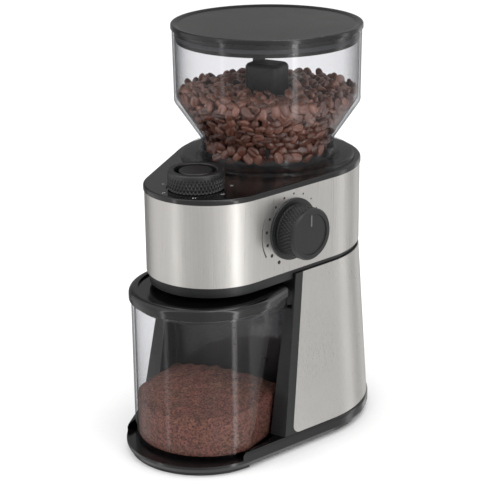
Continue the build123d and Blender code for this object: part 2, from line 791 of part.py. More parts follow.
screw_group("gearcase_screws", case_ears, case_low, 2.9, 1.6, 1.5, cover_plate)
screw_group("gearbox_mount_screws", gearbox_mounts, floor_top, 2.9, 1.6, 1.5, case_high + 3)

with BuildPart() as shaft_bearings:
    for low in (case_high + 1.5, floor_top + 1.5):
        with BuildSketch(Plane((0, burr_y, low))):
            Circle(bearing_r)
            Circle(shaft_r + 0.05, mode=Mode.SUBTRACT)
        extrude(amount=6)
save(shaft_bearings, "shaft_bearings")

with BuildPart() as gear_axle:
    with BuildSketch(Plane((0, wheel_y, case_low))):
        Circle(axle_r)
    extrude(amount=cover_plate - case_low)
save(gear_axle, "gear_axle")

first_low, first_high = 104.5, 112.5
second_low, second_high = 114.5, 125.5

with BuildPart() as motor_pinion:
    with BuildSketch(Plane((0, burr_y, first_low))):
        gear_outline(motor_teeth, gear_module, phase=-90)
        Circle(2.5, mode=Mode.SUBTRACT)
    extrude(amount=first_high - first_low)
save(motor_pinion, "motor_pinion")

with BuildPart() as compound_gear:
    with BuildSketch(Plane((0, wheel_y, first_low))):
        gear_outline(wheel_teeth, gear_module, phase=90 + 180 / wheel_teeth)
    extrude(amount=first_high - first_low)
    with BuildSketch(Plane((0, wheel_y, first_high))):
        Circle(5.2)
    extrude(amount=second_low - first_high)
    with BuildSketch(Plane((0, wheel_y, second_low))):
        gear_outline(second_teeth, gear_module, phase=90)
    extrude(amount=second_high - second_low)
    with BuildSketch(Plane((0, wheel_y, first_low))):
        Circle(axle_r + 0.05)
    extrude(amount=30, mode=Mode.SUBTRACT)
save(compound_gear, "compound_gear")

with BuildPart() as output_gear:
    with BuildSketch(Plane((0, burr_y, second_low))):
        gear_outline(output_teeth, gear_module, phase=-90 + 180 / output_teeth)
        Circle(shaft_r, mode=Mode.SUBTRACT)
    extrude(amount=second_high - second_low)
save(output_gear, "output_gear")

# ---------------------------------------------------------------- motor
motor_low, motor_r = 30.0, 28.0
can_wall = 1.8
motor_shaft_r = 2.5

with BuildPart() as motor_can:
    with BuildSketch(Plane((0, burr_y, motor_low))):
        Circle(motor_r)
    extrude(amount=case_low - motor_low)
    with BuildSketch(Plane((0, burr_y, motor_low))):
        Circle(motor_r - can_wall)
    extrude(amount=case_low - motor_low - 2, mode=Mode.SUBTRACT)
    with BuildSketch(Plane((0, burr_y, motor_low))):
        Circle(motor_shaft_r + 0.05)
    extrude(amount=80, mode=Mode.SUBTRACT)
    chamfer(motor_can.faces().filter_by(Axis.Z).sort_by(Axis.Z)[-1].edges().sort_by(SortBy.RADIUS)[-1], 1.0)
save(motor_can, "motor_can")

with BuildPart() as motor_end_cap:
    with BuildSketch(Plane((0, burr_y, motor_low - 4))):
        Circle(motor_r)
    extrude(amount=4)
    with BuildSketch(Plane((0, burr_y, motor_low - 4))):
        Circle(7)
    extrude(amount=8)
    with BuildSketch(Plane((0, burr_y, motor_low - 2))):
        Circle(motor_shaft_r + 0.05)
    extrude(amount=10, mode=Mode.SUBTRACT)
save(motor_end_cap, "motor_end_cap")

with BuildPart() as motor_magnets:
    for middle in (0, 180):
        ring_sector(21.5, motor_r - can_wall, 42, 90, middle, 62)
save(motor_magnets, "motor_magnets")

with BuildPart() as motor_shaft:
    with BuildSketch(Plane((0, burr_y, motor_low - 1.8))):
        Circle(motor_shaft_r)
    extrude(amount=first_high + 0.8 - motor_low + 1.8)
save(motor_shaft, "motor_shaft")

with BuildPart() as armature:
    with BuildSketch(Plane((0, burr_y, 44))):
        Circle(20.5)
        with PolarLocations(16.5, 12):
            Rectangle(10, 2.2, mode=Mode.SUBTRACT)
        Circle(motor_shaft_r, mode=Mode.SUBTRACT)
    extrude(amount=44)
    with BuildSketch(Plane((0, burr_y, 36))):
        Circle(8)
        Circle(motor_shaft_r, mode=Mode.SUBTRACT)
    extrude(amount=8)
save(armature, "armature")

# ---------------------------------------------------------------- grind dial
with BuildPart() as dial_bezel:
    with BuildSketch(dial_plane):
        Circle(bezel_radius)
        Circle(3.6, mode=Mode.SUBTRACT)
    extrude(amount=1.6)
    fillet(dial_bezel.edges().filter_by(GeomType.CIRCLE).sort_by(SortBy.RADIUS)[-1], 0.6)
save(dial_bezel, "dial_bezel")

with BuildPart() as grind_dial:
    with BuildSketch(dial_plane.offset(1.6 + gap)):
        Circle(grind_dial_radius)
    extrude(amount=grind_dial_depth - 1.6 - gap)
    chamfer(grind_dial.edges().filter_by(GeomType.CIRCLE).sort_by(Axis(dial_seat, dial_axis))[-1], 1.2)
    with BuildSketch(dial_plane.offset(1.6 + gap)):
        Circle(grind_dial_radius - 2.2)
        Circle(6, mode=Mode.SUBTRACT)
    extrude(amount=grind_dial_depth - 1.6 - gap - 3, mode=Mode.SUBTRACT)
    with BuildSketch(dial_plane.offset(1.0)):
        Circle(3.0)
    extrude(amount=11, mode=Mode.SUBTRACT)
    # shallow dish in the face, and the slot for the pointer
    with BuildSketch(dial_plane.offset(grind_dial_depth - 0.8)):
        Circle(grind_dial_radius - 4.2)
    extrude(amount=2, mode=Mode.SUBTRACT)
    pointer_plane = Plane(dial_seat + dial_axis * (grind_dial_depth - 1.6), x_dir=(0, 0, 1), z_dir=dial_axis)
    with BuildSketch(pointer_plane):
        with Locations((grind_dial_radius - 9.5, 0)):
            SlotOverall(9, 1.6)
    extrude(amount=2, mode=Mode.SUBTRACT)
save(grind_dial, "grind_dial")

with BuildPart() as dial_pointer:
    with BuildSketch(pointer_plane):
        with Locations((grind_dial_radius - 9.5, 0)):
            SlotOverall(9, 1.6)
    extrude(amount=1.1)
save(dial_pointer, "dial_pointer")

# ---------------------------------------------------------------- cups dial and start button
dial_low = cover_top - 0.8 + gap
button_r = 12.5
button_foot = 182.0
recess_z = cups_dial_top - 6.0

with BuildPart() as cups_dial:
    with BuildSketch(Plane((0, cups_dial_y, dial_low))):
        Circle(cups_dial_radius)
    extrude(amount=cups_dial_top - dial_low)
    chamfer(cups_dial.edges().filter_by(GeomType.CIRCLE).sort_by(Axis.Z)[-1], 1.0)
    with BuildSketch(Plane((0, cups_dial_y, recess_z))):
        Circle(button_r + 3.2)
    extrude(amount=10, mode=Mode.SUBTRACT)
    with BuildSketch(Plane((0, cups_dial_y, dial_low))):
        Circle(cups_dial_radius - 2.4)
        Circle(6, mode=Mode.SUBTRACT)
    extrude(amount=recess_z - dial_low - 2.4, mode=Mode.SUBTRACT)
    with BuildSketch(Plane((0, cups_dial_y, 190.5))):
        Circle(6)
    extrude(amount=dial_low + 3 - 190.5)
    with BuildSketch(Plane((0, cups_dial_y, 180))):
        Circle(button_stem + gap)
    extrude(amount=60, mode=Mode.SUBTRACT)
save(cups_dial, "cups_dial")

with BuildPart() as timer_pot:
    with BuildSketch(Plane((0, cups_dial_y, 188))):
        Circle(12)
    extrude(amount=12)
    with BuildSketch(Plane((0, cups_dial_y, 188))):
        Circle(6.05)
    extrude(amount=12, mode=Mode.SUBTRACT)
    with BuildSketch(Plane((0, cups_dial_y - 13, 190))):
        Rectangle(12, 5)
    extrude(amount=3)
save(timer_pot, "timer_pot")

with BuildPart() as start_button:
    with BuildSketch(Plane((0, cups_dial_y, cups_dial_top - 3.2))):
        Circle(button_r)
    extrude(amount=2.8)
    fillet(start_button.edges().filter_by(GeomType.CIRCLE).sort_by(Axis.Z)[-1], 1.0)
    with BuildSketch(Plane((0, cups_dial_y, button_foot))):
        Circle(button_stem)
    extrude(amount=cups_dial_top - 3 - button_foot)
save(start_button, "start_button")

with BuildPart() as button_spring:
    with BuildLine():
        coil = Helix(pitch=0.78, height=1.95, radius=6.0, center=(0, cups_dial_y, recess_z + 0.42))
    with BuildSketch(Plane(coil @ 0, z_dir=coil % 0)):
        Circle(0.3)
    sweep(is_frenet=True)
save(button_spring, "button_spring")

with BuildPart() as start_switch:
    with BuildSketch(Plane((0, cups_dial_y, board_z + 1.6))):
        Rectangle(13, 13)
    extrude(amount=9)
    with BuildSketch(Plane((0, cups_dial_y, board_z + 10.6))):
        Circle(2.2)
    extrude(amount=3.2)
save(start_switch, "start_switch")

with BuildPart() as control_board:
    with BuildSketch(Plane((0, -49, board_z))):
        RectangleRounded(52, 56, 3)
    extrude(amount=1.6)
    for x, y, wide, deep, tall in ((20, -38, 12, 16, 9), (-20, -36, 9, 9, 12), (-19, -60, 14, 8, 6), (0, -32, 10, 8, 4)):
        with BuildSketch(Plane((x, y, board_z + 1.6))):
            RectangleRounded(wide, deep, 1)
        extrude(amount=tall)
save(control_board, "control_board")

# ---------------------------------------------------------------- hopper
spigot_out, spigot_in, spigot_low = 53.3, 51.3, 199.9
flange_r, flange_low, flange_high = 69.0, cover_top + gap, 212.6
tab_r, tab_half = 56.6, 13.0
tab_low, tab_high = 200.6, 203.0
ring_floor, lock_ring_top = funnel_seat + 2.5, band_top - 0.6

with BuildPart() as hopper_lock_ring:
    with BuildSketch(Plane((0, burr_y, ring_floor))):
        Circle(lock_ring_r)
        Circle(spigot_out + 0.4, mode=Mode.SUBTRACT)
    extrude(amount=lock_ring_top - ring_floor)
    for turn in (30, 150, 270):
        with BuildPart(mode=Mode.PRIVATE) as slot:
            ring_sector(spigot_out, tab_r + gap, tab_low - gap, lock_ring_top, turn, tab_half + 0.6)
        add(slot.part, mode=Mode.SUBTRACT)
save(hopper_lock_ring, "hopper_lock_ring")

with BuildPart() as hopper_bowl:
    with BuildSketch(side_plane):
        with BuildLine():
            Polyline((spigot_in, spigot_low), (spigot_out, spigot_low), (spigot_out, flange_low))
            Line((spigot_out, flange_low), (flange_r, flange_low))
            TangentArc((flange_r, flange_low), (flange_r - 2.6, flange_high), tangent=(0, 1))
            Line((flange_r - 2.6, flange_high), (56.5, flange_high))
            TangentArc((56.5, flange_high), (51.9, 219), tangent=(-1, 0))
            Line((51.9, 219), (52.9, hopper_neck))
            Line((52.9, hopper_neck), (72.2, hopper_knee - 2))
            TangentArc((72.2, hopper_knee - 2), (73.0, hopper_knee + 1.5), tangent=(0.9, 1))
            Polyline(
                (73.0, hopper_knee + 1.5), (73.6, hopper_top), (73.6 - hopper_wall, hopper_top),
                (73.0 - hopper_wall, hopper_knee + 1.8), (52.9 - 2.0, hopper_neck + 0.6), (50.1, 218),
                (spigot_in, flange_high - 3), (spigot_in, spigot_low),
            )
        make_face()
    revolve(axis=burr_axis)
    for turn in (30, 150, 270):
        ring_sector(spigot_out - 0.5, tab_r, tab_low, tab_high, turn, tab_half)
save(hopper_bowl, "hopper_bowl")

guard_top = 283.0
with BuildPart() as bean_guard:
    with BuildSketch(Plane((0, burr_y, 222))):
        RectangleRounded(30, 24, 6)
    extrude(amount=guard_top - 222)
    fillet(bean_guard.faces().sort_by(Axis.Z)[-1].edges(), 4)
    with BuildSketch(Plane((0, burr_y, guard_top - 3))):
        with Locations((-9, 3)):
            RectangleRounded(7, 10, 2)
    extrude(amount=300.5 - guard_top + 3)
    for turn in (60, 180, 300):
        radius_dir = Vector(cos(radians(turn)), sin(radians(turn)), 0)
        middle = Vector(0, burr_y, 219) + radius_dir * 29.9
        with BuildSketch(Plane(middle, x_dir=radius_dir, z_dir=(0, 0, 1))):
            Rectangle(40, 3)
        extrude(amount=7)
    with BuildSketch(Plane((0, burr_y, 219))):
        Circle(14)
    extrude(amount=4)
save(bean_guard, "bean_guard")

skirt_r = 71.2
with BuildPart() as hopper_lid:
    with BuildSketch(side_plane):
        with BuildLine():
            Line((0, lid_top - 1.2), (lid_radius - 6, lid_top - 1.2))
            Spline((lid_radius - 6, lid_top - 1.2), (lid_radius - 3, lid_top - 0.2), (lid_radius - 1.4, lid_top))
            TangentArc((lid_radius - 1.4, lid_top), (lid_radius, lid_top - 1.4), tangent=(1, 0))
            Polyline(
                (lid_radius, lid_top - 1.4), (lid_radius, hopper_top + 0.4), (skirt_r, hopper_top + 0.4),
                (skirt_r, 307), (skirt_r - 0.8, 307), (skirt_r - 0.8, 304), (skirt_r, 304),
                (skirt_r - 0.4, 301), (skirt_r - 2.4, 301), (skirt_r - 2.4, lid_top - 3.4),
                (0, lid_top - 3.4), (0, lid_top - 1.2),
            )
        make_face()
    revolve(axis=burr_axis)
save(hopper_lid, "hopper_lid")

with BuildPart() as lid_seal:
    with BuildSketch(Plane((0, burr_y, 304))):
        Circle(skirt_r + 0.25)
        Circle(skirt_r - 0.8, mode=Mode.SUBTRACT)
    extrude(amount=3)
save(lid_seal, "lid_seal")

# ---------------------------------------------------------------- grounds container
def container_form(inset, low, high):
    """The container's body with its side grips, moved in by inset, in the active part."""
    with BuildSketch(Plane.XY.offset(low)) as plan:
        u_outline(container_radius - inset, container_back - inset, 8)
    extrude(to_extrude=plan.sketch, amount=high - low)
    for side in (-1, 1):
        with BuildSketch(Plane.YZ.offset(side * (grip_half_width - inset))) as grip:
            with BuildLine():
                FilletPolyline(
                    (grip_start - inset, low - 20), (grip_start - inset, grip_top + inset),
                    (40, grip_top + inset), (40, low - 20), radius=9, close=True,
                )
            make_face()
        extrude(to_extrude=grip.sketch, amount=side * 20, mode=Mode.SUBTRACT)


with BuildPart() as container_core:
    container_form(container_wall, container_floor + 2.4, container_top + 1)

with BuildPart() as container:
    container_form(0, container_floor, container_top)
    fillet(container.faces().sort_by(Axis.Z)[0].edges(), 2.0)
    add(container_core.part, mode=Mode.SUBTRACT)
save(container, "container")

lid_hole = 16.5
plug_inset = container_wall + 0.9
with BuildPart() as container_lid:
    with BuildSketch(Plane.XY.offset(lid_ring_bottom)):
        u_outline(lid_ring_radius, container_back + 0.8, 9)
    extrude(amount=lid_ring_top - lid_ring_bottom)
    fillet(container_lid.faces().sort_by(Axis.Z)[-1].edges(), 4.5)
    with BuildSketch(Plane.XY.offset(lid_ring_bottom)):
        u_outline(container_radius + 0.15, container_back + 0.15, 8)
    extrude(amount=container_top + 0.1 - lid_ring_bottom, mode=Mode.SUBTRACT)
    with BuildSketch(Plane.XY.offset(118)):
        u_outline(container_radius - plug_inset, container_back - plug_inset, 6)
    extrude(amount=container_top + 1 - 118)
    with BuildSketch(Plane.XY.offset(118)):
        u_outline(container_radius - plug_inset - 1.6, container_back - plug_inset - 1.6, 5)
    extrude(amount=container_top + 0.1 - 118, mode=Mode.SUBTRACT)
    with BuildSketch(Plane.XY.offset(lid_ring_top - 1.6)):
        u_outline(lid_ring_radius - 7, container_back - 7, 5)
    extrude(amount=5, mode=Mode.SUBTRACT)
    with BuildSketch(Plane.XY.offset(110)):
        with Locations((0, chute_y)):
            Circle(lid_hole)
    extrude(amount=30, mode=Mode.SUBTRACT)
    # groove for the seal
    with BuildSketch(Plane.XY.offset(119.5)):
        u_outline(container_radius - plug_inset + 2, container_back - plug_inset + 2, 8)
        u_outline(container_radius - plug_inset - 0.8, container_back - plug_inset - 0.8, 5.4, Mode.SUBTRACT)
    extrude(amount=2, mode=Mode.SUBTRACT)
save(container_lid, "container_lid")

with BuildPart() as container_seal:
    with BuildSketch(Plane.XY.offset(119.5)):
        u_outline(container_radius - plug_inset + 0.6, container_back - plug_inset + 0.6, 7)
        u_outline(container_radius - plug_inset - 0.8, container_back - plug_inset - 0.8, 5.4, Mode.SUBTRACT)
    extrude(amount=2)
save(container_seal, "container_seal")
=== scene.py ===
import json
import math
import random

import bpy
import numpy as np
from mathutils import Matrix, Vector, kdtree


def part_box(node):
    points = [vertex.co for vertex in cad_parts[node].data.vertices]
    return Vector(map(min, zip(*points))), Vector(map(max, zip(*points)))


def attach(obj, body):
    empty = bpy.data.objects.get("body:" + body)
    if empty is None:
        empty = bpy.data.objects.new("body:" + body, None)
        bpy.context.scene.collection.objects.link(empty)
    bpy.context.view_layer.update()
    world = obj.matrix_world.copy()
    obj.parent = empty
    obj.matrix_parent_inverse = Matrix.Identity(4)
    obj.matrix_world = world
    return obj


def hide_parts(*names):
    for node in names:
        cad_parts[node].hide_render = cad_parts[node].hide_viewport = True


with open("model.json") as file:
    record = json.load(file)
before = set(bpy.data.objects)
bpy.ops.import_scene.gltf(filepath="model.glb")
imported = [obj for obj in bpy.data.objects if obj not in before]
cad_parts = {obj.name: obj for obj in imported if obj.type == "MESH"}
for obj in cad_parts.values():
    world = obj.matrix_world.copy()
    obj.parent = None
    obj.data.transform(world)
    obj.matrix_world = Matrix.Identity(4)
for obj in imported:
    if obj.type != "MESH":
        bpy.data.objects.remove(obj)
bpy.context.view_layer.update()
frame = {"nodes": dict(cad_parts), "record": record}
nodes = frame["nodes"]
mm = 0.001


def middle(node):
    low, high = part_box(node)
    return (low + high) / 2


# ---- camera

cameraSetup = {
    "azimuth": 30.8,  # degrees round from straight in front, towards the grind dial
    "elevation": 19.13,
    "roll": -0.56,
    "distance": 1.2353,
    "target": (0.00005, 0.0153, 0.1368),
    "lens": 112.0,
}


def makeCamera(setup):
    turn, lift, roll = (math.radians(setup[key]) for key in ("azimuth", "elevation", "roll"))
    back = Vector((math.sin(turn) * math.cos(lift), -math.cos(turn) * math.cos(lift), math.sin(lift)))
    level = Vector((math.cos(turn), math.sin(turn), 0))
    above = back.cross(level)
    across = level * math.cos(roll) + above * math.sin(roll)
    up = above * math.cos(roll) - level * math.sin(roll)
    data = bpy.data.cameras.new("product_camera")
    data.lens = setup["lens"]
    data.sensor_width = 36
    data.clip_end = 50
    camera = bpy.data.objects.new("product_camera", data)
    axes = Matrix((across, up, back)).transposed().to_4x4()
    camera.matrix_world = Matrix.Translation(Vector(setup["target"]) + back * setup["distance"]) @ axes
    bpy.context.scene.collection.objects.link(camera)
    bpy.context.scene.camera = camera
    return camera


camera = makeCamera(cameraSetup)
print("camera in place")


# ---- helpers

def toLinear(hexColour):
    parts = [int(hexColour[i:i + 2], 16) / 255 for i in (1, 3, 5)]
    return tuple(p / 12.92 if p <= 0.04045 else ((p + 0.055) / 1.055) ** 2.4 for p in parts) + (1.0,)


def addNode(tree, kind, settings=None, inputs=None):
    node = tree.nodes.new("ShaderNode" + kind)
    for name, value in (settings or {}).items():
        setattr(node, name, value)
    for name, value in (inputs or {}).items():
        if isinstance(value, bpy.types.NodeSocket):
            tree.links.new(value, node.inputs[name])
        else:
            node.inputs[name].default_value = value
    return node


def startMaterial(name):
    # hands back the tree and coordinates in millimetres, the same all over the object
    material = bpy.data.materials.new(name)
    material.use_nodes = True
    tree = material.node_tree
    tree.nodes.clear()
    place = addNode(tree, "TexCoord").outputs["Object"]
    inMm = addNode(tree, "VectorMath", {"operation": "SCALE"}, {0: place, "Scale": 1000.0}).outputs[0]
    return material, tree, inMm


def finishMaterial(material, tree, shader):
    addNode(tree, "OutputMaterial", inputs={"Surface": shader})
    return material


def meshObject(name, points, faces, material=None, smooth=True):
    mesh = bpy.data.meshes.new(name)
    mesh.from_pydata([tuple(p) for p in points], [], [tuple(f) for f in faces])
    mesh.update()
    mesh.polygons.foreach_set("use_smooth", [smooth] * len(mesh.polygons))
    thing = bpy.data.objects.new(name, mesh)
    bpy.context.scene.collection.objects.link(thing)
    if material:
        mesh.materials.append(material)
    return thing


# ---- materials

def brushedStainless(name, brush, tint):
    # stainless sheet, brushed up and down: long soft streaks, and highlights drawn out sideways
    material, tree, inMm = startMaterial(name)
    stretched = addNode(tree, "Mapping", inputs={
        "Vector": inMm, "Scale": (1 / brush, 1 / brush, 0.012 / brush)})
    streaks = addNode(tree, "TexNoise", inputs={
        "Vector": stretched.outputs["Vector"], "Scale": 1.0, "Detail": 4.0, "Roughness": 0.65})
    handling = addNode(tree, "TexNoise", inputs={"Vector": inMm, "Scale": 1 / 45, "Detail": 2.0})
    tone = addNode(tree, "Mix", {"data_type": "RGBA"}, {
        0: streaks.outputs["Fac"], 6: toLinear(tint[0]), 7: toLinear(tint[1])})
    rough = addNode(tree, "MapRange", inputs={
        "Value": streaks.outputs["Fac"], "From Min": 0.3, "From Max": 0.7, "To Min": 0.25, "To Max": 0.36})
    smudge = addNode(tree, "MapRange", inputs={
        "Value": handling.outputs["Fac"], "From Min": 0.35, "From Max": 0.7, "To Min": 0.0, "To Max": 0.05})
    worn = addNode(tree, "Math", {"operation": "ADD"}, {0: rough.outputs[0], 1: smudge.outputs[0]})
    bump = addNode(tree, "Bump", inputs={
        "Strength": 0.12, "Distance": 0.02 * mm, "Height": streaks.outputs["Fac"]})
    tangent = addNode(tree, "Tangent", {"direction_type": "RADIAL", "axis": "Z"})
    steel = addNode(tree, "BsdfPrincipled", inputs={
        "Base Color": tone.outputs[2], "Metallic": 1.0, "Roughness": worn.outputs[0],
        "Anisotropic": 0.45, "Tangent": tangent.outputs[0], "Normal": bump.outputs[0]})
    return finishMaterial(material, tree, steel.outputs[0])


def mouldedPlastic(name, shade, roughness, texture, depth, ior=1.54):
    # injection-moulded plastic: the tool's own texture, with slight unevenness in the gloss
    material, tree, inMm = startMaterial(name)
    cloud = addNode(tree, "TexNoise", inputs={"Vector": inMm, "Scale": 1 / 30, "Detail": 3.0})
    grain = addNode(tree, "TexNoise", inputs={"Vector": inMm, "Scale": 1 / texture, "Detail": 2.0})
    tone = addNode(tree, "Mix", {"data_type": "RGBA"}, {
        0: cloud.outputs["Fac"], 6: toLinear(shade[0]), 7: toLinear(shade[1])})
    rough = addNode(tree, "MapRange", inputs={
        "Value": cloud.outputs["Fac"], "From Min": 0.3, "From Max": 0.7,
        "To Min": roughness[0], "To Max": roughness[1]})
    bump = addNode(tree, "Bump", inputs={
        "Strength": 0.35, "Distance": depth * mm, "Height": grain.outputs["Fac"]})
    plastic = addNode(tree, "BsdfPrincipled", inputs={
        "Base Color": tone.outputs[2], "Roughness": rough.outputs[0], "IOR": ior, "Normal": bump.outputs[0]})
    return finishMaterial(material, tree, plastic.outputs[0])


def clearSan(name, rim):
    # clear SAN from a polished tool: thin walls that bend nothing, grey seen edge-on, with sharp highlights
    material, tree, inMm = startMaterial(name)
    flow = addNode(tree, "TexNoise", inputs={"Vector": inMm, "Scale": 1 / 35, "Detail": 1.0})
    bump = addNode(tree, "Bump", inputs={
        "Strength": 0.08, "Distance": 0.05 * mm, "Height": flow.outputs["Fac"]})
    edgeOn = addNode(tree, "LayerWeight", inputs={"Blend": 0.5, "Normal": bump.outputs[0]}).outputs["Facing"]
    depth = addNode(tree, "Math", {"operation": "POWER"}, {0: edgeOn, 1: rim["spread"]})
    tone = addNode(tree, "Mix", {"data_type": "RGBA"}, {
        0: depth.outputs[0], 6: toLinear(rim["face"]), 7: toLinear(rim["edge"])})
    through = addNode(tree, "BsdfTransparent", inputs={"Color": tone.outputs[2]})
    steep = addNode(tree, "Math", {"operation": "POWER"}, {0: edgeOn, 1: 5.0})
    mirrored = addNode(tree, "Math", {"operation": "MULTIPLY_ADD"}, {0: steep.outputs[0], 1: 0.45, 2: 0.014})
    rough = addNode(tree, "MapRange", inputs={
        "Value": flow.outputs["Fac"], "From Min": 0.3, "From Max": 0.7, "To Min": 0.02, "To Max": 0.05})
    gloss = addNode(tree, "BsdfGlossy", inputs={
        "Color": toLinear("#ffffff"), "Roughness": rough.outputs[0], "Normal": bump.outputs[0]})
    mixed = addNode(tree, "MixShader", inputs={
        0: mirrored.outputs[0], 1: through.outputs[0], 2: gloss.outputs[0]})
    return finishMaterial(material, tree, mixed.outputs[0])


def machinedMetal(name, shade, roughness, turning):
    # turned or ground metal: fine rings of the tool, a little darker in the grooves
    material, tree, inMm = startMaterial(name)
    rings = addNode(tree, "TexNoise", inputs={"Vector": inMm, "Scale": 1 / turning, "Detail": 3.0})
    tone = addNode(tree, "Mix", {"data_type": "RGBA"}, {
        0: rings.outputs["Fac"], 6: toLinear(shade[0]), 7: toLinear(shade[1])})
    rough = addNode(tree, "MapRange", inputs={
        "Value": rings.outputs["Fac"], "From Min": 0.3, "From Max": 0.7,
        "To Min": roughness, "To Max": roughness + 0.12})
    metal = addNode(tree, "BsdfPrincipled", inputs={
        "Base Color": tone.outputs[2], "Metallic": 1.0, "Roughness": rough.outputs[0]})
    return finishMaterial(material, tree, metal.outputs[0])


def mouldedRubber(name, shade, roughness):
    # soft rubber: dull, slightly dusty in patches
    material, tree, inMm = startMaterial(name)
    dust = addNode(tree, "TexNoise", inputs={"Vector": inMm, "Scale": 1 / 6, "Detail": 5.0})
    tone = addNode(tree, "Mix", {"data_type": "RGBA"}, {
        0: dust.outputs["Fac"], 6: toLinear(shade[0]), 7: toLinear(shade[1])})
    rough = addNode(tree, "MapRange", inputs={
        "Value": dust.outputs["Fac"], "To Min": roughness, "To Max": roughness + 0.2})
    rubber = addNode(tree, "BsdfPrincipled", inputs={
        "Base Color": tone.outputs[2], "Roughness": rough.outputs[0], "IOR": 1.52})
    return finishMaterial(material, tree, rubber.outputs[0])


def solderMask(name):
    # green solder mask over copper tracks: faint straight traces under a waxy gloss
    material, tree, inMm = startMaterial(name)
    tracks = addNode(tree, "TexBrick", {"offset": 0.3}, {
        "Vector": inMm, "Scale": 1 / 8, "Mortar Size": 0.06, "Color1": toLinear("#1d4a26"),
        "Color2": toLinear("#24552d"), "Mortar": toLinear("#3f7a45")})
    board = addNode(tree, "BsdfPrincipled", inputs={
        "Base Color": tracks.outputs["Color"], "Roughness": 0.35, "IOR": 1.5})
    return finishMaterial(material, tree, board.outputs[0])


def padPrint(name, shade):
    # ink printed on the finished surface: nearly flat, a touch patchy
    material, tree, inMm = startMaterial(name)
    patchy = addNode(tree, "TexNoise", inputs={"Vector": inMm, "Scale": 2.0, "Detail": 2.0})
    tone = addNode(tree, "Mix", {"data_type": "RGBA"}, {
        0: patchy.outputs["Fac"], 6: toLinear(shade[0]), 7: toLinear(shade[1])})
    ink = addNode(tree, "BsdfPrincipled", inputs={
        "Base Color": tone.outputs[2], "Roughness": 0.5, "IOR": 1.5})
    return finishMaterial(material, tree, ink.outputs[0])


def roastedBean(name):
    # medium-roast beans: each its own brown, mottled skin with a thin shine of oil
    material, tree, inMm = startMaterial(name)
    own = addNode(tree, "Attribute", {"attribute_name": "roast"})
    mottle = addNode(tree, "TexNoise", inputs={"Vector": inMm, "Scale": 1 / 1.6, "Detail": 4.0})
    tone = addNode(tree, "Mix", {"data_type": "RGBA"}, {
        0: own.outputs["Fac"], 6: toLinear("#4e2c22"), 7: toLinear("#9c6753")})
    skin = addNode(tree, "Mix", {"data_type": "RGBA", "blend_type": "MULTIPLY"}, {
        0: 0.3, 6: tone.outputs[2], 7: mottle.outputs["Color"]})
    rough = addNode(tree, "MapRange", inputs={"Value": mottle.outputs["Fac"], "To Min": 0.3, "To Max": 0.55})
    bump = addNode(tree, "Bump", inputs={
        "Strength": 0.4, "Distance": 0.25 * mm, "Height": mottle.outputs["Fac"]})
    bean = addNode(tree, "BsdfPrincipled", inputs={
        "Base Color": skin.outputs[2], "Roughness": rough.outputs[0], "IOR": 1.46,
        "Coat Weight": 1.0, "Coat Roughness": 0.1, "Normal": bump.outputs[0]})
    return finishMaterial(material, tree, bean.outputs[0])


def groundCoffee(name, grainSize):
    # medium grounds: dry, sandy, darker crumbs among paler chaff; the grain is drawn coarse enough to show
    material, tree, inMm = startMaterial(name)
    crumbs = addNode(tree, "TexVoronoi", {"feature": "F1"}, {"Vector": inMm, "Scale": 1 / grainSize})
    drifts = addNode(tree, "TexNoise", inputs={"Vector": inMm, "Scale": 1 / 14, "Detail": 4.0})
    crumbTone = addNode(tree, "Mix", {"data_type": "RGBA"}, {
        0: crumbs.outputs["Color"], 6: toLinear("#3a1f18"), 7: toLinear("#9a6453")})
    tone = addNode(tree, "Mix", {"data_type": "RGBA", "blend_type": "MULTIPLY"}, {
        0: 0.35, 6: crumbTone.outputs[2], 7: drifts.outputs["Color"]})
    bump = addNode(tree, "Bump", {"invert": True}, {
        "Strength": 0.8, "Distance": 0.5 * mm, "Height": crumbs.outputs["Distance"]})
    grounds = addNode(tree, "BsdfPrincipled", inputs={
        "Base Color": tone.outputs[2], "Roughness": 0.85, "IOR": 1.45, "Normal": bump.outputs[0]})
    return finishMaterial(material, tree, grounds.outputs[0])


slotMaterials = {
    "black_gloss": mouldedPlastic("gloss_abs", ("#070708", "#0c0c0d"), (0.1, 0.2), 4.0, 0.02),
    "black_satin": mouldedPlastic("satin_abs", ("#0b0c0d", "#121315"), (0.34, 0.46), 0.7, 0.05),
    "brushed_steel": brushedStainless("brushed_stainless", 0.55, ("#b8b6b3", "#d1cfcc")),
    "clear_plastic": clearSan("clear_san", {"face": "#f7f7f8", "edge": "#8a8b8d", "spread": 3.5}),
    "rubber": mouldedRubber("moulded_rubber", ("#0d0d0d", "#1d1d1d"), 0.6),
    "silicone": mouldedRubber("silicone_seal", ("#2b2c2e", "#3a3b3d"), 0.4),
    "nylon": mouldedPlastic("glass_filled_nylon", ("#26272a", "#303135"), (0.45, 0.6), 0.5, 0.04),
    "machine_steel": machinedMetal("ground_steel", ("#a9a9ab", "#c9c9cb"), 0.22, 0.4),
    "plated_steel": machinedMetal("zinc_plated_steel", ("#b4b2a6", "#d0cec4"), 0.28, 6.0),
    "brass": machinedMetal("machined_brass", ("#a8853f", "#cba95f"), 0.2, 0.4),
    "circuit_board": solderMask("solder_mask"),
    "white_mark": padPrint("grey_inlay", ("#505050", "#606060")),
}
beanSkin = roastedBean("roasted_bean")
coffeeGrounds = groundCoffee("ground_coffee", 1.2)
blackInk = padPrint("black_pad_print", ("#141414", "#222222"))
greyInk = padPrint("grey_pad_print", ("#3c3c3c", "#4c4c4c"))
paleInk = padPrint("pale_pad_print", ("#a9a9a8", "#c4c4c2"))

for part in frame["record"]["subparts"]:
    mesh = nodes[part["node"]].data
    mesh.materials.clear()
    mesh.materials.append(slotMaterials[part["material_slot"]])
print("materials on", len(nodes), "CAD pieces")


# ---- roasted beans in the hopper

hopperAxis = Vector((middle("hopper_bowl").x, middle("hopper_bowl").y, 0))

